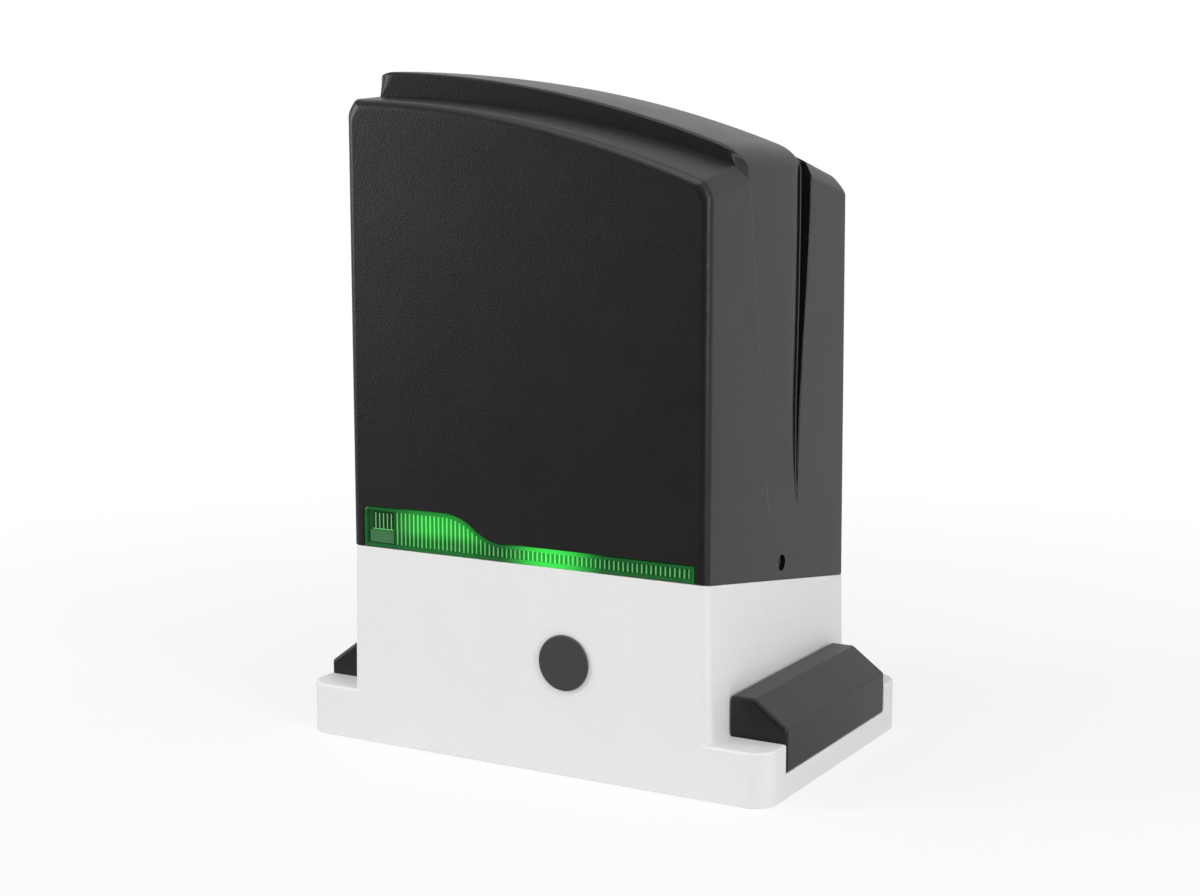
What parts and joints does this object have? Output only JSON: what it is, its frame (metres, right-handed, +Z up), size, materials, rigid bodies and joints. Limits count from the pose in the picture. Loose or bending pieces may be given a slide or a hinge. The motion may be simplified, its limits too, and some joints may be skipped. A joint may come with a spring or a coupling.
{
  "type": "sliding gate motor",
  "caption": "Sliding gate motor: white cast base with a rear drive pinion, black ridged cover with a green signal lens, hooded foot bolts and a front release cap.",
  "frame": {"origin": "centre of the foot's underside", "axes": "+X to the right seen from the front with the release cap, +Y from the front to the gate and the drive pinion, +Z up"},
  "size_m": [0.26, 0.2045, 0.335],
  "materials": {
    "white_casting": "fine textured powder coat",
    "black_cover": "fine grain",
    "green_lens": "translucent, ribbed",
    "lamp_board": "satin",
    "dark_plug": "satin",
    "zinc_steel": "zinc plated",
    "ground_steel": "ground",
    "gear_steel": "machined",
    "bronze": "machined",
    "rubber": "matte",
    "cast_aluminium": "as cast",
    "copper": "bare",
    "winding_tape": "satin",
    "lamination": "bare",
    "ferrite": "matte",
    "paper_gasket": "matte",
    "grey_plastic": "matte",
    "circuit_board": "satin",
    "green_terminal": "satin",
    "relay_case": "satin",
    "capacitor_sleeve": "satin",
    "display_glass": "gloss",
    "button_cap": "matte",
    "motor_paint": "satin"
  },
  "bodies": {
    "base": {"base_casting": "white_casting", "shift_guide_pins": "ground_steel", "front_shaft_bearing": "ground_steel", "rear_shaft_bearing": "ground_steel", "shaft_seal": "rubber", "lower_worm_bearing": "ground_steel", "upper_worm_bearing": "ground_steel", "gearbox_gasket": "paper_gasket", "gearbox_lid": "cast_aluminium", "lid_screws": "zinc_steel", "motor_flange": "cast_aluminium", "motor_screws": "zinc_steel", "motor_can": "motor_paint", "motor_magnets": "ferrite", "motor_end_bell": "cast_aluminium", "motor_brushes": "ferrite", "encoder_sensor": "grey_plastic", "transformer_bracket": "zinc_steel", "toroidal_transformer": "winding_tape", "transformer_clamp": "zinc_steel", "board_carrier": "grey_plastic", "board_standoffs": "button_cap", "control_board": "circuit_board", "terminal_blocks": "green_terminal", "relays": "relay_case", "capacitors": "capacitor_sleeve", "display_window": "display_glass", "button_housings": "grey_plastic", "limit_switch_housing": "grey_plastic", "limit_microswitches": "dark_plug", "cable_grommet": "rubber"},
    "cover": {"cover_shell": "black_cover", "signal_lens": "green_lens", "led_board": "lamp_board", "cover_screws": "zinc_steel", "screw_clips": "zinc_steel"},
    "bolt_cover_right": {"bolt_cover_right": "black_cover"},
    "bolt_cover_left": {"bolt_cover_left": "black_cover"},
    "release_cap": {"release_cap": "dark_plug"},
    "release_spindle": {"release_spindle": "gear_steel"},
    "shift_fork": {"shift_fork": "cast_aluminium"},
    "dog_clutch": {"dog_clutch": "gear_steel"},
    "output": {"output_shaft": "ground_steel", "shaft_key": "gear_steel", "drive_pinion": "gear_steel", "pinion_bolt": "zinc_steel"},
    "worm_wheel": {"worm_wheel": "bronze"},
    "motor_rotor": {"motor_shaft": "ground_steel", "worm": "gear_steel", "armature": "lamination", "commutator": "copper", "encoder_disc": "grey_plastic"},
    "limit_lever": {"limit_lever": "zinc_steel", "limit_spring": "zinc_steel"},
    "program_button_plus": {"program_button_plus": "button_cap"},
    "program_button_minus": {"program_button_minus": "button_cap"},
    "program_button_enter": {"program_button_enter": "button_cap"}
  },
  "joints": [
    {"name": "cover_lift", "type": "slide", "parent": "base", "child": "cover", "axis": [0, 0, 1], "range_m": [0, 0.26]},
    {"name": "bolt_cover_right_lift", "type": "slide", "parent": "base", "child": "bolt_cover_right", "axis": [0, 0, 1], "range_m": [0, 0.05]},
    {"name": "bolt_cover_left_lift", "type": "slide", "parent": "base", "child": "bolt_cover_left", "axis": [0, 0, 1], "range_m": [0, 0.05]},
    {"name": "release_cap_pull", "type": "slide", "parent": "base", "child": "release_cap", "axis": [0, -1, 0], "range_m": [0, 0.03]},
    {"name": "release_turn", "type": "hinge", "parent": "base", "child": "release_spindle", "pos_m": [0.024, -0.07, 0.0555], "axis": [0, 1, 0], "range_deg": [0, 90]},
    {"name": "fork_slide", "type": "slide", "parent": "base", "child": "shift_fork", "axis": [0, -1, 0], "range_m": [0, 0.006]},
    {"name": "output_turn", "type": "hinge", "parent": "base", "child": "output", "pos_m": [0.024, 0, 0.0555], "axis": [0, 1, 0], "continuous": true},
    {"name": "clutch_slide", "type": "slide", "parent": "output", "child": "dog_clutch", "axis": [0, -1, 0], "range_m": [0, 0.006]},
    {"name": "wheel_turn", "type": "hinge", "parent": "base", "child": "worm_wheel", "pos_m": [0.024, -0.006, 0.0555], "axis": [0, 1, 0], "continuous": true},
    {"name": "rotor_turn", "type": "hinge", "parent": "base", "child": "motor_rotor", "pos_m": [-0.021, -0.006, 0.1], "axis": [0, 0, 1], "continuous": true},
    {"name": "limit_lever_swing", "type": "hinge", "parent": "base", "child": "limit_lever", "pos_m": [0.024, 0.064, 0.115], "axis": [0, 0, 1], "range_deg": [-25, 25], "stiffness_Nm_per_rad": 0.05},
    {"name": "program_plus_press", "type": "slide", "parent": "base", "child": "program_button_plus", "axis": [0, 1, 0], "range_m": [0, 0.0005], "stiffness_N_per_m": 400},
    {"name": "program_minus_press", "type": "slide", "parent": "base", "child": "program_button_minus", "axis": [0, 1, 0], "range_m": [0, 0.0005], "stiffness_N_per_m": 400},
    {"name": "program_enter_press", "type": "slide", "parent": "base", "child": "program_button_enter", "axis": [0, 1, 0], "range_m": [0, 0.0005], "stiffness_N_per_m": 400}
  ],
  "couplings": [
    {"joint": "release_turn", "follows": "fork_slide", "rad_per_m": 261.79},
    {"joint": "clutch_slide", "follows": "fork_slide", "ratio": 1},
    {"joint": "wheel_turn", "follows": "output_turn", "ratio": 1},
    {"joint": "rotor_turn", "follows": "output_turn", "ratio": -36}
  ]
}
